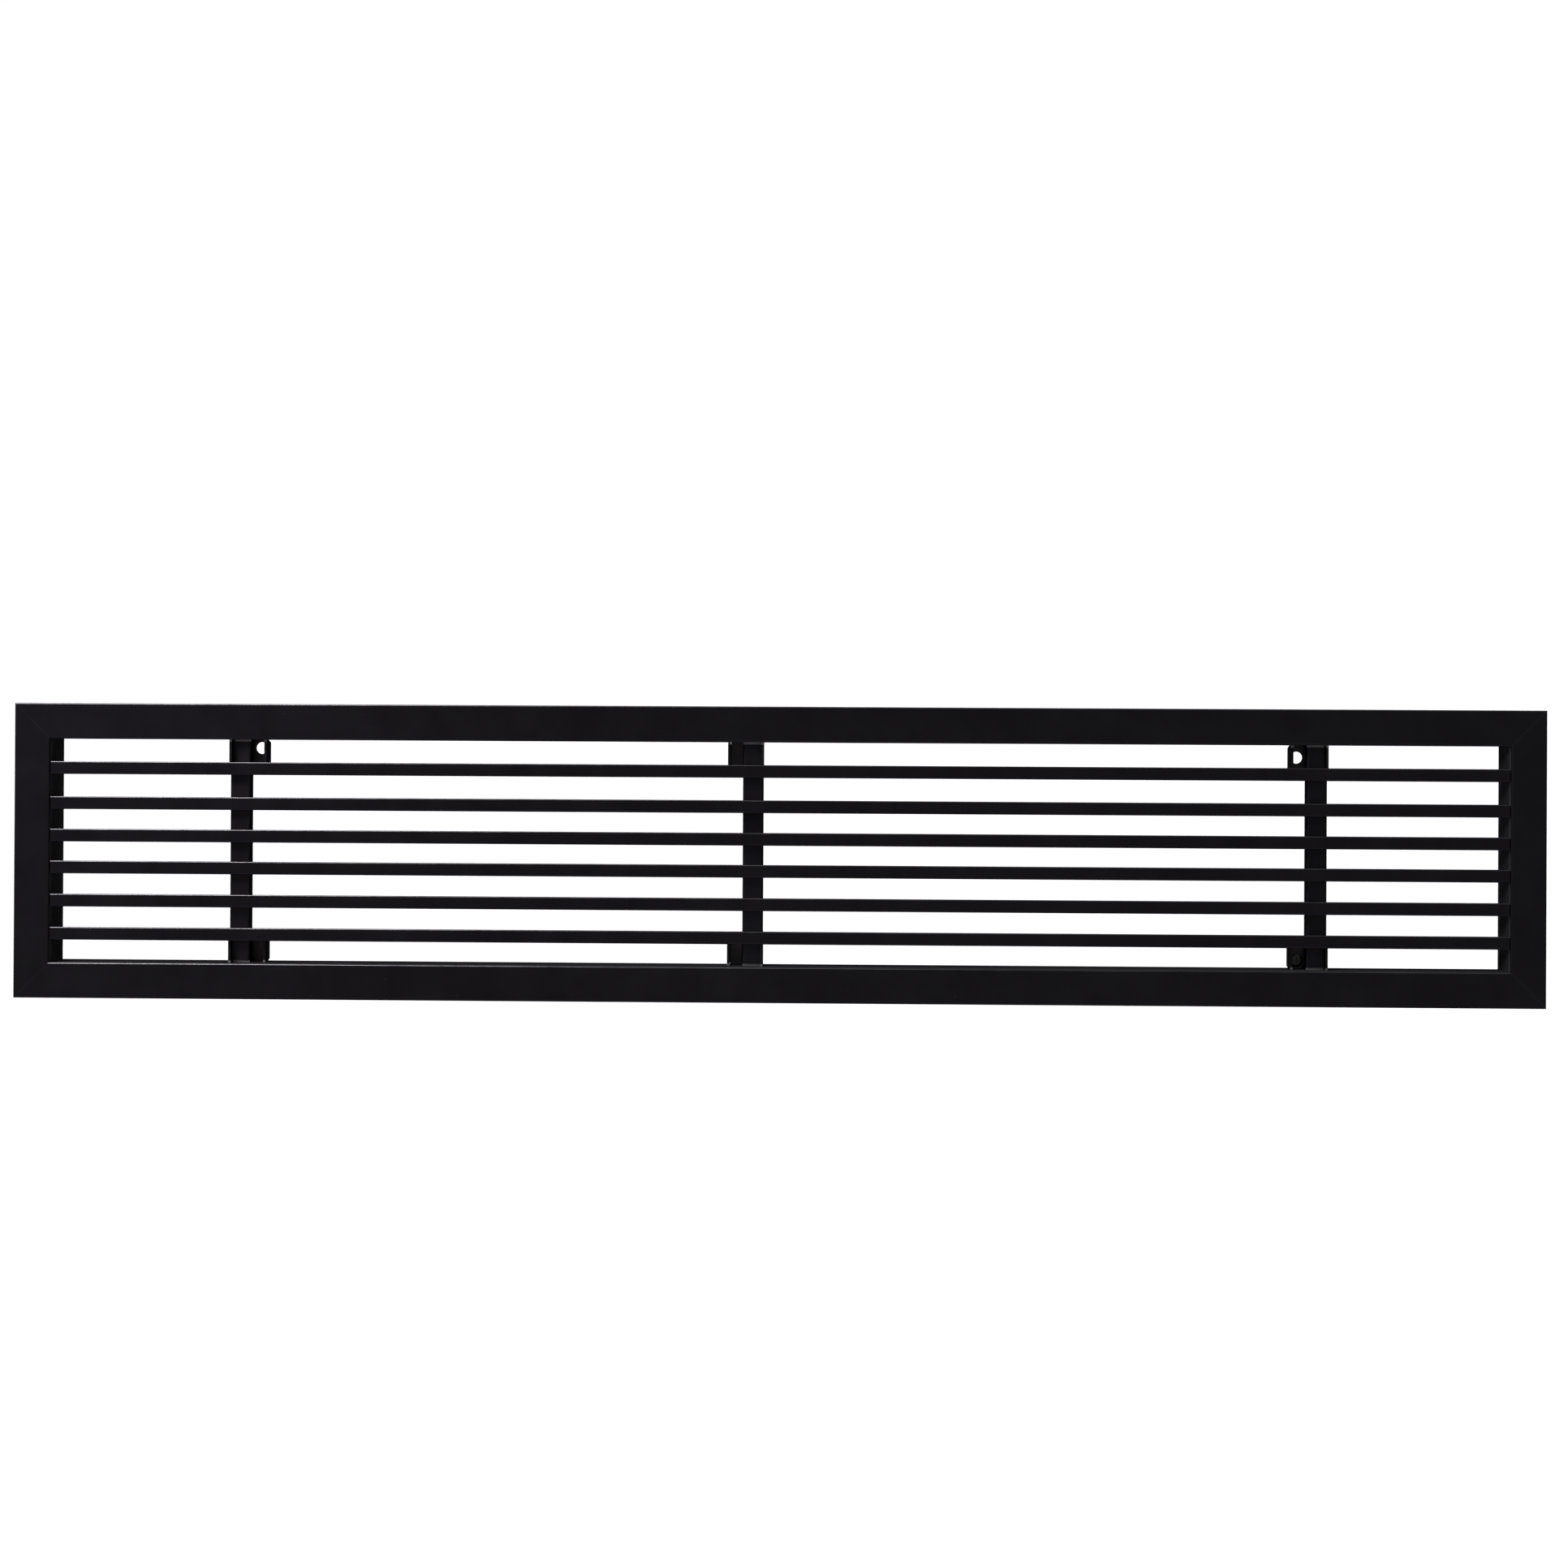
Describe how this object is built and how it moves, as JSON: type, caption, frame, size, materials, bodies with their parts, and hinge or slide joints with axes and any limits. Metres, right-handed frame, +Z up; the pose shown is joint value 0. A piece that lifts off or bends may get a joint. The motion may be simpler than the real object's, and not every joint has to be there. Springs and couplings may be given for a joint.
{
  "type": "linear bar vent register cover",
  "caption": "Long black wall register with a mitred flanged frame, fixed horizontal T-section bars and notched uprights behind them.",
  "frame": {"origin": "centre of the opening, in the wall plane that the frame's rim rests on", "axes": "+X along the grille, +Y into the wall, +Z up; the room side faces -Y"},
  "size_m": [0.62, 0.0313, 0.12],
  "materials": {
    "frame_coat": "satin black anodised extrusion",
    "bar_coat": "satin black anodised extrusion",
    "support_coat": "black paint on folded sheet steel",
    "key_zinc": "zinc-plated pressing",
    "rivet_metal": "painted over with the neck",
    "screw_black": "black oxide"
  },
  "bodies": {
    "root": {"frame_top": "frame_coat", "frame_bottom": "frame_coat", "frame_left": "frame_coat", "frame_right": "frame_coat", "corner_key_top_left": "key_zinc", "corner_key_top_right": "key_zinc", "corner_key_bottom_left": "key_zinc", "corner_key_bottom_right": "key_zinc", "bar_1": "bar_coat", "bar_2": "bar_coat", "bar_3": "bar_coat", "bar_4": "bar_coat", "bar_5": "bar_coat", "bar_6": "bar_coat", "mullion_left": "support_coat", "clip_left_top": "support_coat", "clip_left_bottom": "support_coat", "mullion_centre": "support_coat", "clip_centre_top": "support_coat", "clip_centre_bottom": "support_coat", "mullion_right": "support_coat", "clip_right_top": "support_coat", "clip_right_bottom": "support_coat", "clip_rivets": "rivet_metal", "fixing_screw": "screw_black"}
  },
  "joints": []
}
